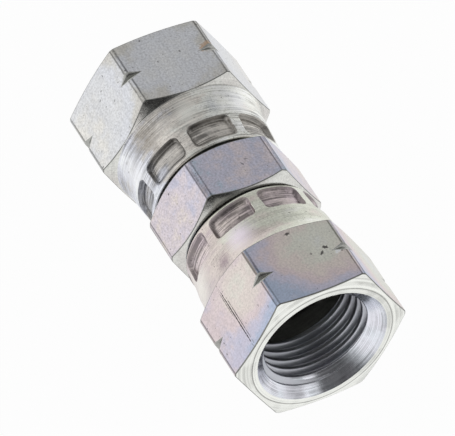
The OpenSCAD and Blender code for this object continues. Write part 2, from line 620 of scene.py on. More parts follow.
@dataclass(frozen=True)
class Crimp:
    """Dents that the jaws of the crimping tool leave round a collar."""

    turn: float
    collar_end_x: float = 4.2
    count: int = 8
    width: float = 5.3
    length: float = 3.05
    rim: float = 0.5
    floor_r: float = 8.16
    corner_r: float = 0.6
    wall: float = 0.17
    end_wall: float = 0.8

    # Distances inside a dent's outline at which its walls need points, and along its floor.
    OUTSIDE = (-0.18, -0.1, -0.05)
    INSIDE = (0, 0.05, 0.1, 0.18, 0.3, 0.42, 0.55, 0.7)
    FLOOR = (1.0, 1.3, 1.6, 1.9)
    # The columns have one more place outside, and are laid out this far above the floor.
    FAR_OUTSIDE = -0.3
    LAID_ABOVE = 0.3
    # The end wall grows gentler from this share of the half length on.
    EASED_FROM = 0.3
    # How far the painted shade reaches from the walls, and how much it darkens beside them.
    SHADE_REACH = 0.8
    SHADE_STRENGTH = 0.4

    def columns(self) -> list[float]:
        """Angles in degrees, from +Y, at which the dents need columns of their own."""
        offsets = (self.FAR_OUTSIDE, *self.OUTSIDE, *self.INSIDE)
        places = [side * (self.width / 2 - off) for side in (-1, 1) for off in offsets]
        swings = [math.degrees(math.asin(place / (self.floor_r + self.LAID_ABOVE))) for place in places]
        return [90 + self.turn + 360 / self.count * k + swing for k in range(self.count) for swing in swings]

    def rows(self) -> list[float]:
        """Distances of the rings that the dents need, from the collar's blend to its end."""
        low = self.collar_end_x + self.rim
        high = low + self.length
        offsets = (*self.OUTSIDE, *self.INSIDE)
        return [high - off for off in (*offsets, *self.FLOOR)] + [low + off for off in reversed(offsets)]

    def sizes(self, unit: float) -> dict[str, float]:
        """Named sizes of the dents.

        Args:
            unit: The length of a millimetre.

        Returns:
            The sizes by name, with angles in radians.
        """
        return {
            "Step": math.tau / self.count,
            "Turn": math.radians(90 + self.turn),
            "Half Width": self.width / 2 * unit,
            "Half Length": self.length / 2 * unit,
            "Middle X": (self.collar_end_x + self.rim + self.length / 2) * unit,
            "Corner Radius": self.corner_r * unit,
            "Wall": self.wall * unit,
            "End Wall": self.end_wall * unit,
            "Floor Radius": self.floor_r * unit,
        }

    @staticmethod
    def outline(place: Place, size: dict) -> tuple[Value, Value]:
        """Works out where a place lies with respect to the nearest dent's rounded outline.

        Args:
            place: The place.
            size: The dents' sizes by name, as numbers or values.

        Returns:
            The distance outside the outline, and how far the place is past the dent's middle towards
            the collar's end.
        """
        half = size["Step"] * 0.5
        swing = (place.angle() - size["Turn"]).calc("WRAP", half, half * -1.0)
        sideways = abs(place.radius() * swing.calc("SINE"))
        ahead = size["Middle X"] - place.x
        past_side = sideways - size["Half Width"] + size["Corner Radius"]
        past_end = abs(ahead) - size["Half Length"] + size["Corner Radius"]
        outer_side, outer_end = (past.calc("MAXIMUM", 0.0) for past in (past_side, past_end))
        corner = (outer_side * outer_side + outer_end * outer_end).calc("SQRT")
        inside = past_side.calc("MAXIMUM", past_end).calc("MINIMUM", 0.0)
        return corner + inside - size["Corner Radius"], ahead

    def recipe(self, floor: Material, wall: Material) -> Recipe:
        """Tree that presses the dents into a collar.

        Args:
            floor: The material of the dents' floors.
            wall: The material of the dents' walls.

        Returns:
            The tree, with the dents' sizes as its named inputs.
        """
        made = Recipe("crimp_dents", self.sizes(MM))
        size, place = made.size, made.place
        distance, ahead = self.outline(place, size)
        radius = place.radius()
        rise = size["Wall"] * 0.5
        fall = (size["Half Length"] * self.EASED_FROM, size["Half Length"])
        slope = ahead.ramp(fall, (size["Wall"], size["End Wall"]), smooth=True)
        share = distance.ramp((rise - slope, rise), (1.0, 0.0), smooth=True)
        drop = (radius - size["Floor Radius"]).calc("MAXIMUM", 0.0)
        scale = 1.0 - drop * share / radius
        pressed = distance.calc("LESS_THAN", rise) * drop.calc("GREATER_THAN", 0.0)
        walled = pressed * distance.calc("GREATER_THAN", rise * -1.0)
        target = (place.x, place.y * scale, place.z * scale)
        made.end(made.move(size["Geometry"], pressed + walled, target), floor, wall)
        return made

    def painted_wall_shade(self, place: Place) -> Value:
        """Painted shade on a dent's floor along its walls.

        Args:
            place: The place in millimetres, on either end of the union.

        Returns:
            How much darker the place is, from 0 to 1.
        """
        links = {0: abs(place.x), 1: place.y * place.x.calc("SIGN"), 2: place.z}
        near = Place(add_node(place.tree, "ShaderNodeCombineXYZ", links).outputs[0])
        distance = self.outline(near, self.sizes(1.0))[0]
        return distance.ramp((-self.SHADE_REACH, 0.0), (0.0, self.SHADE_STRENGTH), smooth=True)


@dataclass(frozen=True)
class Flat:
    """Where the flats of a hexagon lie, for patterns that follow them."""

    start_x: float
    end_x: float
    bar: HexBar

    # Where the lines beside a corner's round fade, and how softly the round starts, in millimetres.
    LINE_FADE = (0.03, 0.14)
    ROUND_SOFT = 0.05

    def share(self, place: Place, centre: tuple[float, float]) -> Value:
        """Distance from a spot on the flat, where 1 is half the flat.

        Args:
            place: The place in millimetres.
            centre: The spot's shares, along the axis and round it.

        Returns:
            The distance.
        """
        middle, half_length = (self.start_x + self.end_x) / 2, (self.end_x - self.start_x) / 2
        along = (abs(place.x) - middle) / half_length - centre[0]
        half_flat = math.pi / 6
        turn = (place.angle() - half_flat).calc("WRAP", half_flat, -half_flat)
        across = turn / half_flat - centre[1]
        return (along * along + across * across).calc("SQRT")

    def corner_lines(self, place: Place) -> tuple[Value, Value]:
        """Shares of the two lines beside each corner's round, and of the round between them.

        Args:
            place: The place in millimetres.

        Returns:
            The lines' share and the round's share, from 0 to 1.
        """
        arc = place.angle().calc("PINGPONG", math.pi / 6) * self.bar.corner_r
        half_band = math.radians(self.bar.half_band) * self.bar.corner_r
        beside = abs(arc - half_band).ramp(self.LINE_FADE, (1.0, 0.0))
        return beside, arc.ramp((half_band - self.ROUND_SOFT, half_band), (1.0, 0.0))


@dataclass(frozen=True)
class Film:
    """Clear blue passivation: a film so thin that its colour follows its thickness, as oil's on water.

    The thickness is a share from 0 to 1 along the tints. It varies in patches, which on rings are drawn
    out round the axis. It may grow upwards and towards -Y, and on a flat it grows away from a centre.
    """

    level: float
    spread: float
    patch: float
    tints: tuple[str, ...]
    edge_gain: float = 0.0
    centre: tuple[float, float] = (0.0, 0.0)
    rings: float = 1.0
    upper: float = 0.0
    aside: float = 0.0

    # From the axis to near the top, from the middle to the -Y side, and from a flat's centre outwards.
    HEIGHTS = (0.0, 8.0)
    SIDEWAYS = (1.0, -9.0)
    OUTWARDS = (0.0, 1.9)
    # Share of the edge gain that the lowest flats get.
    LOW_SHARE = 0.4

    def colour(self, place: Place, flat: Flat | None) -> NodeSocket:
        """Colour of the film at a place on the part.

        Args:
            place: The place in millimetres.
            flat: The flats that the film lies on, if it lies on flats.

        Returns:
            The colour.
        """
        spot = place if self.rings == 1.0 else place.rings()
        cloud = spot.pattern(self.patch, 4.0, (1.0, 1 / self.rings, 1 / self.rings))
        thick = (cloud - 0.5) * self.spread + self.level
        thick = thick + place.z.ramp(self.HEIGHTS, (0.0, self.upper))
        thick = thick + place.y.ramp(self.SIDEWAYS, (0.0, self.aside))
        if flat:
            outwards = flat.share(place, self.centre).ramp(self.OUTWARDS, (0.0, 1.0), smooth=True)
            gain = place.z.ramp(self.HEIGHTS, (self.LOW_SHARE * self.edge_gain, self.edge_gain))
            thick = thick + outwards * gain
        node = add_node(place.tree, "ShaderNodeValToRGB", {0: thick})
        node.color_ramp.interpolation = "EASE"
        stops = node.color_ramp.elements
        for i, tint in enumerate(self.tints):
            spot_on_ramp = i / (len(self.tints) - 1)
            stop = stops[i] if i < 2 else stops.new(spot_on_ramp)
            stop.position = spot_on_ramp
            stop.color = srgb(tint)
        return node.outputs[0]


@dataclass(frozen=True)
class ToolMarks:
    """Fine lines that a tool leaves: rings round the axis where the face was turned, else along it."""

    width: float
    length: float
    depth: float
    shade: float
    turned: bool = True

    # Among the fine lines lie coarser ones: how much coarser, and how high the two kinds are.
    COARSER = 4
    FINE_HEIGHT = 0.6
    COARSE_HEIGHT = 0.4

    def height(self, place: Place) -> Value:
        """Height of the lines.

        Args:
            place: The place in millimetres.

        Returns:
            The height, from 0 to 1.
        """
        thin = self.width / self.length
        shrink = (1.0, thin, thin) if self.turned else (thin, 1.0, 1.0)
        spot = place.rings() if self.turned else place
        fine = spot.pattern(self.width, 3.0, shrink) * self.FINE_HEIGHT
        return fine + spot.pattern(self.width * self.COARSER, 2.0, shrink) * self.COARSE_HEIGHT


# Dark grey of dirt and old cutting oil.
DIRT = "#3f3d3e"


@dataclass(frozen=True)
class Nick:
    """Small knock, scratch, staining or painted highlight: an ellipsoid, inside which the face is changed.

    It fades from the inner share of its half sizes outwards, and its outline is ragged.
    """

    middle: tuple[float, float, float]
    half: tuple[float, float, float]
    turn: tuple[float, float, float] = (0.0, 0.0, 0.0)
    colour: str = DIRT
    strength: float = 0.85
    depth: float = 0.03
    inner: float = 0.6
    ragged: float = 2.0

    # Where it has faded, as a share of its half sizes.
    OUTER = 1.15

    @classmethod
    def stain_and_highlight(cls, middle: tuple, half: tuple, colour: str, strength: float, inner: float) -> "Nick":
        """Soft patch that changes the colour alone; dark and tinted ones are staining, pale ones painted
        highlights.
        """
        return cls(middle, half, colour=colour, strength=strength, depth=0.0, inner=inner, ragged=0.8)

    def share(self, place: Place, rough: Value) -> Value:
        """How strong the nick is at a place.

        Args:
            place: The place in millimetres.
            rough: Pattern that makes the nick's outline ragged.

        Returns:
            The share, from 0 to 1.
        """
        links = {"Vector": place.vector, "Location": self.middle, "Scale": self.half}
        links["Rotation"] = tuple(math.radians(angle) for angle in self.turn)
        local = add_node(place.tree, "ShaderNodeMapping", links, vector_type="TEXTURE").outputs[0]
        away = add_node(place.tree, "ShaderNodeVectorMath", {0: local}, operation="LENGTH").outputs["Value"]
        uneven = Value(away) + (rough - 0.5) * self.ragged
        return uneven.ramp((self.inner, self.OUTER), (1.0, 0.0), smooth=True)


@dataclass(frozen=True)
class Plating:
    """Zinc plating with a clear passivation film, over steel that shows how it was made."""

    name: str
    film: Film
    roughness: tuple[float, float]
    marks: ToolMarks
    bright: float = 1.0
    grain: float = 0.25
    grain_depth: float = 0.004
    grain_shade: float = 0.2
    specks: float = 0.0
    contrast: tuple[float, float] = (0.4, 0.6)
    flat: Flat | None = None
    crimp: Crimp | None = None
    nicks: tuple[Nick, ...] = ()

    # Sizes in millimetres of the worn patches and of the specks of dirt, and the least brightness that all
    # the darkening leaves.
    WORN_PATCH = 2.6
    SPECK = 0.5
    LEAST_LIGHT = 0.3
    # Ranges of the patterns that count, some with what their ends become.
    WEAR = ((0.38, 0.6), (0.4, 1.0))
    SPECK_RANGE = (0.7, 0.77)
    GRAIN_RANGE = (0.35, 0.65)
    GLOSS_RANGE = (0.3, 0.7)
    BESIDE_CORNERS = ((0.35, 0.6), (0.7, 0.35))
    ON_CORNERS = ((0.42, 0.58), (0.34, 0.06))

    def light(self, place: Place, lines: Value, grain: Value, worn: Value) -> Value:
        """Brightness of the metal between its lines, its grain, the lines beside its hex corners and the
        painted shade along its dents' walls.

        Args:
            place: The place in millimetres.
            lines: Height of the tool marks.
            grain: The grain.
            worn: How fresh the tool marks are.

        Returns:
            The brightness, 1 for clean metal.
        """
        grey = lines.ramp(self.contrast, (self.marks.shade, 0.0)) * worn
        grey = grey + grain.ramp(self.GRAIN_RANGE, (self.grain_shade, 0.0))
        if self.flat:
            beside, within = self.flat.corner_lines(place)
            grey = grey + beside * lines.ramp(*self.BESIDE_CORNERS)
            grey = grey + within * lines.ramp(*self.ON_CORNERS)
        if self.crimp:
            # Painted shade on the dents' floors along their walls.
            grey = grey + self.crimp.painted_wall_shade(place)
        return (1.0 - grey).calc("MAXIMUM", self.LEAST_LIGHT) * self.bright

    def build(self) -> Material:
        """Makes the material.

        Returns:
            The material, with its patterns sized in millimetres of the real part.
        """
        material = bpy.data.materials.new(self.name)
        tree = empty_tree(material)
        links = {0: add_node(tree, "ShaderNodeTexCoord").outputs["Object"], "Scale": 1 / MM}
        place = Place(add_node(tree, "ShaderNodeVectorMath", links, operation="SCALE").outputs[0])
        grain = place.pattern(self.grain, 3.0)
        lines = self.marks.height(place)
        worn = place.pattern(self.WORN_PATCH, 2.0).ramp(*self.WEAR, smooth=True)
        links = {0: self.film.colour(place, self.flat), "Scale": self.light(place, lines, grain, worn)}
        colour = add_node(tree, "ShaderNodeVectorMath", links, operation="SCALE").outputs[0]
        height = lines * worn * self.marks.depth + grain * self.grain_depth
        covers = []
        if self.specks:
            specks = place.pattern(self.SPECK, 1.0)
            covers.append((specks.ramp(self.SPECK_RANGE, (0.0, self.specks), smooth=True), DIRT))
        for nick in self.nicks:
            share = nick.share(place, grain)
            covers.append((share * nick.strength, nick.colour))
            height = height - share * nick.depth
        for share, tint in covers:
            links = {0: share, 6: colour, 7: srgb(tint)}
            colour = add_node(tree, "ShaderNodeMix", links, data_type="RGBA").outputs[2]
        links = {"Height": height * MM, "Distance": 1.0, "Strength": 1.0}
        links = {"Normal": add_node(tree, "ShaderNodeBump", links).outputs[0]}
        links |= {"Base Color": colour, "Metallic": 1.0}
        links["Roughness"] = grain.ramp(self.GLOSS_RANGE, self.roughness)
        surface = add_node(tree, "ShaderNodeBsdfPrincipled", links)
        add_node(tree, "ShaderNodeOutputMaterial", {"Surface": surface.outputs[0]})
        return material


class Finishes:
    """The part's materials, each named for what it is."""

    # Tints of the film in the order of its thickness, from none to the thickest.
    RAINBOW = ("#e6e8e6", "#e4e4da", "#e7ddd7", "#e2d4d6", "#d3d0e0", "#bac6dc")
    GREY = ("#eeece7", "#e6e7e9", "#e3e5ea", "#d9d7d2", "#cdc7bf")
    LAVENDER = ("#ece2dc", "#e3dae0", "#d3d2e2", "#c4d1e1")
    STAINED = ("#f4f5f3", "#ebece6", "#e2ddd6", "#ccc8c3", "#d9dbe4", "#eef1f5")
    MAUVE = ("#f4f4ee", "#e7e9db", "#e3d8d2", "#d2c4c8", "#dfd5e0", "#f4f2ee")
    PLAIN = ("#eceeea", "#e6e7e2", "#dfdcd8", "#dfe3e8")
    POLISHED = ("#eceff4", "#e2e7ee", "#e6e6ee", "#dde3ec")

    # Roughness of the flats and of the collars, and the range of lines that darken where marks are coarse.
    SATIN = (0.3, 0.4)
    RINGED = (0.26, 0.38)
    COARSE = (0.43, 0.57)

    def __init__(self, near: Crimp, far: Crimp) -> None:
        """Builds the materials.

        Args:
            near: The dents of the near nut.
            far: The dents of the far nut.
        """
        self.build_flats()
        self.build_rings()
        self.build_mouth()
        plain = Film(0.4, 0.6, 3.0, self.PLAIN)
        # Chamfers are cut with a sharp tool, so they mirror what stands beside them.
        self.chamfer = Plating(
            "zinc_plated_cut_chamfers",
            Film(0.5, 0.8, 3.0, self.PLAIN),
            (0.14, 0.22),
            ToolMarks(0.25, 8.0, 0.004, 0.15),
        ).build()
        # Behind the thread next to no zinc is laid down, so the cavity and the lip stay dark bare steel. The
        # same dark finish lies on the last strips of each collar as painted shade.
        marks = ToolMarks(0.3, 9.0, 0.004, 0.2)
        self.bore = Plating("bare_steel_bore_and_painted_shade", plain, (0.4, 0.5), marks, bright=0.5).build()
        # The thin lines where a chamfer or a groove meets a flat are darkened as painted shade.
        marks = ToolMarks(0.2, 5.0, 0.002, 0.2)
        self.edge = Plating("painted_shade_edge_lines", plain, (0.3, 0.4), marks, bright=0.36).build()
        # The marking groove and the fine ring round the mouth are darkened as painted shade.
        marks = ToolMarks(0.2, 5.0, 0.002, 0.25)
        self.groove = Plating("painted_shade_marking_groove", plain, (0.22, 0.32), marks, bright=0.64).build()
        mauve = Film(0.52, 0.5, 2.0, self.MAUVE, rings=2.0)
        stained = Film(0.4, 0.7, 2.0, self.STAINED, rings=2.0, aside=0.35)
        self.dents_a = self.jaw_marks("mauve", mauve, 1.26, near)
        self.dents_b = self.jaw_marks("grey", stained, 1.12, far)

    def build_flats(self) -> None:
        """Builds the finishes of the flats.

        Drawn bar under the plating has a fine grain, so a flat looks soft and speckled, not like a mirror.
        """
        drawn = ToolMarks(0.3, 6.0, 0.002, 0.05, turned=False)
        nut_flat = Flat(SwivelNut.back_x, SwivelNut.mouth_x, NUT_BAR)
        # The scratches on the flat to the left lie in its plane, a little askew to its edges.
        scratch_turn = (60, 1.06, -0.61)
        self.flats_a = Plating(
            "zinc_plated_flats_rainbow",
            Film(0.1, 0.75, 3.4, self.RAINBOW, edge_gain=0.85, centre=(-0.4, -0.4), aside=0.26),
            self.SATIN,
            drawn,
            bright=1.07,
            specks=0.6,
            flat=nut_flat,
            nicks=(
                Nick((16.54, 3.17, 9.5), (0.22, 0.42, 1.0), (0, 0, -30)),
                Nick((17.2, 2.46, 9.5), (0.4, 0.17, 1.0), (0, 0, -40)),
                Nick((12.87, 0.18, 9.5), (0.22, 0.42, 1.0), (0, 0, 20)),
                Nick((17.4, 4.6, 9.5), (0.35, 1.0, 0.6), (0, 0, 35), "#f6f9fc", 0.8, 0.01),
                Nick((17.3, -8.54, 4.22), (5.2, 0.08, 0.6), scratch_turn, strength=1.0),
                Nick((18.2, -8.40, 4.46), (4.4, 0.05, 0.6), scratch_turn, strength=0.9),
                Nick((15.0, -8.62, 4.07), (2.2, 0.04, 0.6), scratch_turn, strength=0.8),
            ),
        ).build()
        # The far nut's film is thinner: it stays in the grey and cream tints.
        self.flats_b = Plating(
            "zinc_plated_flats_grey",
            Film(0.0, 0.9, 3.0, self.GREY, edge_gain=0.55, centre=(0.0, 0.1), upper=0.3),
            self.SATIN,
            drawn,
            bright=1.11,
            grain_shade=0.28,
            specks=0.7,
            flat=nut_flat,
            nicks=(Nick((-17.66, 4.9, 9.5), (0.7, 1.0, 0.6), (0, 0, 20), "#c9ab8e", 0.8, 0.01),),
        ).build()
        # The body's film is thicker: lavender in the middle of a flat and blue along its edges.
        self.flats_body = Plating(
            "zinc_plated_flats_lavender",
            Film(0.08, 1.5, 1.8, self.LAVENDER, edge_gain=0.5, centre=(0.1, -0.3), upper=0.35),
            self.SATIN,
            drawn,
            bright=1.08,
            grain_shade=0.28,
            specks=0.7,
            flat=Flat(-HexBody.face_x, HexBody.face_x, BODY_BAR),
            nicks=(
                Nick((0.1, 0.8, 8.5), (0.3, 0.1, 1.0), (0, 0, 30), strength=0.6),
                Nick((-0.4, 1.5, 8.5), (0.1, 0.3, 1.0), (0, 0, -20), strength=0.6),
            ),
        ).build()

    def build_rings(self) -> None:
        """Builds the finishes of the collars.

        A turning tool leaves fine rings, which spread the light across them and hold some staining; the pale
        patches laid on them are painted highlights.
        """
        self.turned_a = Plating(
            "zinc_plated_rings_mauve",
            Film(0.18, 0.9, 2.4, self.MAUVE, rings=2.0, aside=0.3),
            self.RINGED,
            ToolMarks(0.14, 6.0, 0.012, 0.24),
            bright=1.12,
            specks=0.6,
            nicks=(
                # Painted highlight where the concave blend mirrors the light.
                Nick.stain_and_highlight((9.4, -4.2, 8.0), (2.2, 2.8, 1.6), "#fff4ff", 1.0, -0.1),
                Nick.stain_and_highlight((10.9, -6.8, 6.1), (1.8, 1.4, 1.5), "#8d7986", 0.9, -0.4),
                # Painted highlight along the -Y side.
                Nick.stain_and_highlight((8.5, -9.2, 1.0), (4.5, 1.8, 4.5), "#f6f3ec", 0.85, 0.0),
            ),
        ).build()
        self.turned_b = Plating(
            "zinc_plated_rings_stained",
            Film(0.15, 1.3, 2.4, self.STAINED, rings=2.0, aside=0.7),
            self.RINGED,
            ToolMarks(0.14, 5.0, 0.014, 0.5),
            bright=1.3,
            specks=0.6,
            contrast=self.COARSE,
            nicks=(
                Nick.stain_and_highlight((-10.0, -6.8, 6.2), (4.0, 2.4, 2.8), "#8f877c", 0.75, -0.4),
                # Painted highlights along the -Y side and over the middle.
                Nick.stain_and_highlight((-8.6, -9.0, 2.6), (4.5, 1.9, 3.4), "#ffffff", 0.6, 0.0),
                Nick.stain_and_highlight((-9.8, -1.6, 8.9), (2.8, 1.9, 1.4), "#fbfbf4", 0.85, -0.2),
                Nick.stain_and_highlight((-9.4, 1.6, 8.8), (2.2, 1.2, 1.4), "#b9c0c9", 0.5, -0.4),
                # Painted highlight towards +Y.
                Nick.stain_and_highlight((-9.6, 4.9, 7.4), (2.6, 2.0, 2.4), "#f4f6fc", 0.6, -0.2),
            ),
        ).build()

    def build_mouth(self) -> None:
        """Builds the finishes of the mouth face, the countersink and the thread."""
        # The mouth was faced with a finer feed, so its rings are faint and it shines more.
        self.faced = Plating(
            "zinc_plated_faced_rings",
            Film(0.3, 0.6, 4.0, self.PLAIN),
            (0.22, 0.32),
            ToolMarks(0.16, 18.0, 0.004, 0.32),
            bright=1.17,
            grain_shade=0.04,
            grain_depth=0.002,
        ).build()
        # The countersink is cut last and nearly polished, with fine chatter lines.
        self.countersink = Plating(
            "bright_countersink",
            Film(0.5, 1.0, 3.0, self.POLISHED),
            (0.16, 0.24),
            ToolMarks(0.12, 14.0, 0.01, 0.5),
            bright=1.12,
            grain_shade=0.06,
        ).build()
        # Plating reaches the thread thinly, so its flanks are darker, smooth and a little oily.
        self.thread = Plating(
            "thinly_plated_thread",
            Film(0.5, 0.6, 3.0, self.POLISHED),
            (0.34, 0.44),
            ToolMarks(0.3, 9.0, 0.001, 0.12),
            bright=0.78,
            grain_shade=0.06,
            grain_depth=0.0005,
        ).build()

    def jaw_marks(self, name: str, film: Film, bright: float, crimp: Crimp) -> tuple[Material, Material]:
        """Builds the finishes of one collar's dents.

        The jaws drag the collar's rings together, so the floors show coarse streaks, and they are darkened
        along their walls as painted shade.
        The walls are darkened as painted shade, and stay dull.

        Args:
            name: The colour by which the two are told apart.
            film: The film on the floors.
            bright: Brightness of the floors.
            crimp: The dents.

        Returns:
            The finishes of the floors and of the walls.
        """
        floor = Plating(
            f"jaw_pressed_plating_{name}",
            film,
            (0.28, 0.38),
            ToolMarks(0.12, 5.0, 0.016, 0.85),
            bright=bright,
            specks=0.6,
            contrast=self.COARSE,
            crimp=crimp,
        )
        wall_streaks = ToolMarks(0.12, 2.0, 0.01, 0.5)
        # The walls take the floors' film at 0.6 of their brightness, as painted shade.
        wall = Plating(f"painted_shade_dent_walls_{name}", film, (0.4, 0.5), wall_streaks, bright=0.6 * bright)
        return floor.build(), wall.build()

    def shell(self, flats: Material, turned: Material) -> list[Material]:
        """Materials of a shell with the given flats and rings, in the order of its zones."""
        return [flats, turned, self.faced, self.chamfer, self.bore, self.edge, self.groove]


# How much more the strong faces count in the weighted normals than the weak ones; 50 is even.
NORMAL_WEIGHT = 60


def settle(obj: Object) -> None:
    """Turns an object's modifiers into a plain mesh with faces outwards and weighted normals.

    Args:
        obj: The object, with its tree modifiers on it.
    """
    for weighted in (False, True):
        if weighted:
            obj.modifiers.new("weights", "WEIGHTED_NORMAL").weight = NORMAL_WEIGHT
        graph = bpy.context.evaluated_depsgraph_get()
        mesh = bpy.data.meshes.new_from_object(obj.evaluated_get(graph), depsgraph=graph)
        obj.modifiers.clear()
        if not weighted:
            clean = bmesh.new()
            clean.from_mesh(mesh)
            bmesh.ops.remove_doubles(clean, verts=clean.verts, dist=MERGE_REACH)
            bmesh.ops.recalc_face_normals(clean, faces=clean.faces)
            for face in clean.faces:
                face.smooth = True
            clean.to_mesh(mesh)
            clean.free()
        mesh.name = obj.name
        obj.data = mesh


def add_object(name: str, data: ID, materials: list[Material] | None = None) -> Object:
    """Adds an object at the origin.

    Args:
        name: The object's name.
        data: Its mesh, camera or lamp.
        materials: A mesh's materials in the order of its zones.

    Returns:
        The object.
    """
    obj = bpy.data.objects.new(name, data)
    for material in materials or []:
        data.materials.append(material)
    bpy.context.scene.collection.objects.link(obj)
    return obj


@dataclass(frozen=True)
class SwivelNut:
    """Swivel nut: hexagon with a marking groove, crimped collar, and a threaded mouth.

    The seam radii are those at which rings with different columns meet, on the two end faces. From the
    back face the outline falls by the top's run and drop, and the blend to the collar starts behind it.
    """

    node: str
    end: End
    crimp: Crimp
    bar: HexBar = NUT_BAR
    back_x: float = 12.15
    mouth_x: float = 22.45
    mouth_face_r: float = 8.93
    mouth_chamfer: float = 13.0
    mouth_seam_r: float = 8.4
    back_chamfer: float = 28.0
    groove_depth: float = 0.65
    groove_angle: float = 50.0
    blend_l: float = 2.5
    blend_steps: int = 12
    collar_top_r: float = 9.45
    collar_root_r: float = 8.95
    collar_end_r: float = 8.5
    collar_edge: float = 0.3
    edge_steps: int = 4
    collar_seam_r: tuple[float, float] = (7.4, 6.8)
    top_run: float = 0.3
    top_drop: float = 0.12
    blend_start: float = 0.5
    lip_r: float = 6.3
    lip_end_x: float = 7.35
    lip_soft: float = 0.15
    cavity_x: float = 8.3
    column_step: float = 2.4

    # Last strips of the collar that take the dark bore finish as painted shade: the near collar's end lies
    # in the shadow of its gap.
    SHADOWED = {End.NEAR: 4, End.FAR: 1}

    def hexagon(self, angle: float) -> list[Corner]:
        """Outline of the hexagon from its mouth face to the top of the blend.

        Args:
            angle: The angle in radians.

        Returns:
            The outline's corners at that angle.
        """
        r = self.bar.radius(angle)
        groove_x = (self.back_x + self.mouth_x) / 2
        groove_r = min(r, self.bar.corner_r - self.groove_depth)
        half = (r - groove_r) * math.tan(math.radians(self.groove_angle / 2))
        mouth_run = (r - self.mouth_face_r) * math.tan(math.radians(self.mouth_chamfer))
        back_run = (r - self.collar_top_r) * math.tan(math.radians(self.back_chamfer))
        faced, flats, groove, edge, cut = Zone.FACED, Zone.FLATS, Zone.GROOVE, Zone.EDGE, Zone.CHAMFER
        return [
            Corner(self.mouth_x, self.mouth_seam_r, 0, faced),
            Corner(self.mouth_x, self.mouth_face_r, 0.08, faced, groove),
            Corner(self.mouth_x - mouth_run, r, 0.11, faced, edge),
            Corner(groove_x + half, r, 0.3, flats, groove),
            Corner(groove_x, groove_r, 0.12, groove, groove),
            Corner(groove_x - half, r, 0.3, groove, groove),
            Corner(self.back_x + back_run, r, 0.08, flats, edge),
            Corner(self.back_x, self.collar_top_r, 0.1, cut, cut),
            Corner(self.back_x - self.top_run, self.collar_top_r - self.top_drop, 0, Zone.TURNED),
        ]

    def collar(self) -> np.ndarray:
        """Outline of the collar from the blend to the face at its end."""
        rise = self.collar_top_r - self.collar_root_r
        blend_r = (self.blend_l**2 + rise**2) / 2 / rise
        blend_x = self.back_x - self.blend_l
        rows = []
        for x in np.linspace(self.back_x - self.blend_start, blend_x, self.blend_steps):
            rows.append((x, self.collar_root_r + blend_r - math.sqrt(blend_r**2 - (x - blend_x) ** 2)))
        end_x = self.crimp.collar_end_x
        taper_end = end_x + self.collar_edge
        slope = (self.collar_root_r - self.collar_end_r) / (blend_x - taper_end)
        rows += [(x, self.collar_end_r + (x - taper_end) * slope) for x in self.crimp.rows()]
        centre_r = self.collar_end_r - self.collar_edge
        for turn in np.linspace(0, math.pi / 2, self.edge_steps + 1):
            sunk, out = self.collar_edge * math.sin(turn), self.collar_edge * math.cos(turn)
            rows.append((taper_end - sunk, centre_r + out))
        return np.array(rows + [(end_x, self.collar_seam_r[0])])

    def inside(self, thread: Thread) -> list[Corner]:
        """Outline from the face at the collar's end through the lip and the cavity.

        Args:
            thread: The thread, at whose lead the outline ends.

        Returns:
            The outline's corners.
        """
        end_x = self.crimp.collar_end_x
        return [
            Corner(end_x, self.collar_seam_r[1]),
            Corner(end_x, self.lip_r, self.lip_soft),
            Corner(self.lip_end_x, self.lip_r, self.lip_soft),
            Corner(self.cavity_x, thread.cavity_r, self.lip_soft),
            Corner(thread.lead_x, thread.cavity_r),
        ]

    def mesh(self, thread: Thread) -> Mesh:
        """Makes the nut without its thread and its dents, open at the mouth.

        Args:
            thread: The thread that is to line the mouth.

        Returns:
            The mesh.
        """
        angles = spread_angles(self.column_step, self.bar.features() + self.crimp.columns())
        even = thread.angles()
        shell = Shell()
        shell.add(np.array([[self.mouth_x, thread.countersink_r]]), even, [Zone.FACED])
        hexagon = np.array([round_corners(self.hexagon(angle)) for angle in angles]).transpose(1, 0, 2)
        shell.add(hexagon, angles, outline_zones(self.hexagon(0.0)))
        collar = self.collar()
        shadowed = self.SHADOWED[self.end]
        # The collar's last strips take the bore's dark finish as painted shade.
        shell.add(collar, angles, [Zone.TURNED] * (len(collar) - shadowed) + [Zone.BORE] * shadowed)
        inside = self.inside(thread)
        shell.add(round_corners(inside), even, outline_zones(inside))
        return shell.finish(self.node)

    def build(self, finishes: Finishes) -> Object:
        """Makes the nut in place of its CAD node.

        Args:
            finishes: The part's materials.

        Returns:
            The nut's object.
        """
        thread = Thread(self.mouth_x)
        flats, turned, dents = finishes.flats_a, finishes.turned_a, finishes.dents_a
        if self.end is End.FAR:
            flats, turned, dents = finishes.flats_b, finishes.turned_b, finishes.dents_b
        nut = add_object(f"plated_{self.node}", self.mesh(thread), finishes.shell(flats, turned))
        self.crimp.recipe(*dents).put_on(nut)
        thread.recipe(finishes.thread, finishes.countersink).put_on(nut)
        settle(nut)
        if self.end is End.FAR:
            nut.data.transform(Matrix.Rotation(math.pi, 4, "Z"))
        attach(nut, self.end.value)
        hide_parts(self.node)
        LOG.info("%s: %d faces", nut.name, len(nut.data.polygons))
        return nut


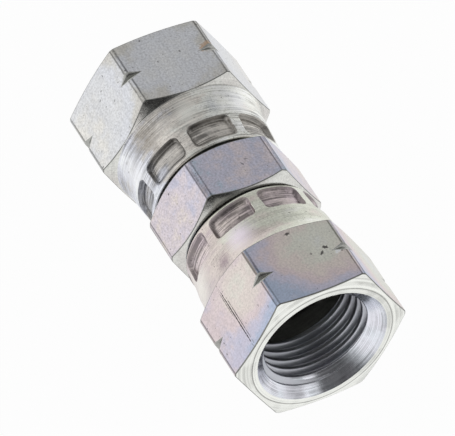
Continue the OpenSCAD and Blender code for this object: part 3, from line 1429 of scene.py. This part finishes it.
@dataclass(frozen=True)
class HexBody:
    """Body: hexagon in the middle, and a neck and a head with a seat cone on each side."""

    node: str = "hex_body"
    bar: HexBar = BODY_BAR
    face_x: float = 3.8
    face_r: float = 8.15
    chamfer: float = 30.0
    neck_r: float = 5.9
    neck_end_x: float = 7.3
    head_x: float = 8.35
    head_r: float = 6.95
    front_x: float = 11.45
    front_edge: float = 0.2
    seat_r: float = 6.3
    seat_angle: float = 37.0
    bore_r: float = 3.75
    bore_run: float = 1.0
    middle_x: float = 0.5
    column_step: float = 2.5

    def half(self, angle: float) -> list[Corner]:
        """Outline of one half, from the bore over the seat and the head to the middle.

        Args:
            angle: The angle in radians.

        Returns:
            The outline's corners at that angle.
        """
        r = self.bar.radius(angle)
        run = (r - self.face_r) * math.tan(math.radians(self.chamfer))
        seat_x = self.front_x - (self.seat_r - self.bore_r) / math.tan(math.radians(self.seat_angle))
        return [
            Corner(seat_x - self.bore_run, self.bore_r),
            Corner(seat_x, self.bore_r, 0.1),
            Corner(self.front_x, self.seat_r, 0.08),
            Corner(self.front_x, self.head_r - self.front_edge, 0.05),
            Corner(self.front_x - self.front_edge, self.head_r, 0.05),
            Corner(self.head_x, self.head_r, 0.2),
            Corner(self.neck_end_x, self.neck_r, 0.2),
            Corner(self.face_x, self.neck_r, 0.3),
            Corner(self.face_x, self.face_r, 0.08, Zone.TURNED, Zone.TURNED),
            Corner(self.face_x - run, r, 0.08, Zone.CHAMFER, Zone.EDGE),
            Corner(self.middle_x, r, 0, Zone.FLATS),
        ]

    def build(self, finishes: Finishes) -> Object:
        """Makes the body in place of its CAD node.

        Args:
            finishes: The part's materials.

        Returns:
            The body's object.
        """
        angles = spread_angles(self.column_step, self.bar.features())
        half = np.array([round_corners(self.half(angle)) for angle in angles]).transpose(1, 0, 2)
        zones = outline_zones(self.half(0.0))
        shell = Shell()
        shell.add(half, angles, zones)
        shell.add(half[::-1] * np.array([-1, 1]), angles, [Zone.FLATS] + zones[:0:-1])
        shell.close(Zone.BORE)
        materials = finishes.shell(finishes.flats_body, finishes.turned_b)
        body = add_object(f"plated_{self.node}", shell.finish(self.node), materials)
        settle(body)
        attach(body, "body")
        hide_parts(self.node)
        LOG.info("%s: %d faces", body.name, len(body.data.polygons))
        return body


@dataclass(frozen=True)
class DimPatch:
    """Part of the room that is dimmer than its walls, round a way in which it lies.

    It grows dim between the two given cosines of the angle from its way.
    """

    way: tuple[float, float, float]
    cosines: tuple[float, float]
    level: float


@dataclass(frozen=True)
class Studio:
    """Camera at the photograph's angle, a white floor and a plain soft light."""

    azimuth: float = 63.893
    elevation: float = 48.047
    distance: float = 0.78819
    aside: float = -0.000937
    below: float = -0.000367
    lens: float = 538.5
    floor_z: float = -0.0095
    floor_reach: float = 3.0
    lamp_way: tuple[float, float, float] = (0.70, 0.47, 0.54)
    lamp_distance: float = 0.8
    lamp_size: float = 0.3
    lamp_watts: float = 0.15
    paper: float = 0.85
    glow: float = 0.97

    # The ceiling is grey, and it is darker behind the camera and low beside it.
    PATCHES = (
        DimPatch((0.0, 0.3, 0.954), (0.1, 0.75), 0.5),
        DimPatch((0.80, -0.16, 0.578), (0.68, 0.95), 0.22),
        DimPatch((0.968, -0.2, 0.15), (0.9, 0.965), 0.12),
    )

    def camera(self) -> None:
        """Adds the camera."""
        turn, rise = math.radians(self.azimuth), math.radians(self.elevation)
        back = (math.sin(turn) * math.cos(rise), -math.cos(turn) * math.cos(rise), math.sin(rise))
        back, right = Vector(back), Vector((math.cos(turn), math.sin(turn), 0))
        up = back.cross(right)
        data = bpy.data.cameras.new("camera")
        data.lens = self.lens
        data.sensor_width = 36
        data.clip_start = 0.01
        camera = add_object("camera", data)
        place = back * self.distance + right * self.aside + up * self.below
        camera.matrix_world = Matrix.Translation(place) @ Matrix((right, up, back)).transposed().to_4x4()
        bpy.context.scene.camera = camera

    def floor(self) -> None:
        """Adds a white floor that keeps the part's shadow."""
        mesh = bpy.data.meshes.new("floor")
        far = self.floor_reach
        corners = [(x, y, self.floor_z) for x, y in ((-far, -far), (far, -far), (far, far), (-far, far))]
        mesh.from_pydata(corners, [], [(0, 1, 2, 3)])
        material = bpy.data.materials.new("white_paper_floor")
        tree = empty_tree(material)
        path = add_node(tree, "ShaderNodeLightPath").outputs
        seen = Value(path["Is Camera Ray"]).calc("MAXIMUM", path["Is Glossy Ray"])
        seen = seen.calc("MAXIMUM", path["Is Transmission Ray"])
        paper = add_node(tree, "ShaderNodeBsdfDiffuse", {"Color": (*[self.paper] * 3, 1)})
        glow = add_node(tree, "ShaderNodeEmission", {"Color": (1, 1, 1, 1), "Strength": 1.0})
        links = {0: seen * self.glow, 1: paper.outputs[0], 2: glow.outputs[0]}
        mixed = add_node(tree, "ShaderNodeMixShader", links)
        add_node(tree, "ShaderNodeOutputMaterial", {"Surface": mixed.outputs[0]})
        floor = add_object("floor", mesh, [material])

    def light(self) -> None:
        """Adds a room that is pale round the horizon and dimmer elsewhere, and one soft lamp."""
        world = bpy.data.worlds.new("soft_room")
        tree = empty_tree(world)
        way = add_node(tree, "ShaderNodeTexCoord").outputs["Generated"]
        level = 1.0
        for patch in self.PATCHES:
            links = {0: way, 1: patch.way}
            node = add_node(tree, "ShaderNodeVectorMath", links, operation="DOT_PRODUCT")
            aim = Value(node.outputs["Value"])
            level = aim.ramp(patch.cosines, (1.0, patch.level), smooth=True) * level
        back = add_node(tree, "ShaderNodeBackground", {"Color": (1, 1, 1, 1), "Strength": level})
        add_node(tree, "ShaderNodeOutputWorld", {"Surface": back.outputs[0]})
        bpy.context.scene.world = world
        lamp = bpy.data.lights.new("soft_box", "AREA")
        lamp.shape = "DISK"
        lamp.size = self.lamp_size
        lamp.energy = self.lamp_watts
        box = add_object("soft_box", lamp)
        place = Vector(self.lamp_way) * self.lamp_distance
        box.matrix_world = Matrix.Translation(place) @ place.to_track_quat("Z", "Y").to_matrix().to_4x4()


def main() -> None:
    """Builds the pieces in order, dresses them and sets the studio."""
    logging.basicConfig(level=logging.INFO, format="%(name)s: %(message)s")
    bpy.context.scene.view_settings.view_transform = "Standard"
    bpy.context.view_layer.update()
    studio = Studio()
    studio.camera()
    near, far = Crimp(turn=25.5, end_wall=1.3), Crimp(turn=0.0)
    finishes = Finishes(near, far)
    HexBody().build(finishes)
    SwivelNut("swivel_nut_a", End.NEAR, near).build(finishes)
    SwivelNut("swivel_nut_b", End.FAR, far).build(finishes)
    studio.floor()
    studio.light()


if __name__ == "__main__":
    main()
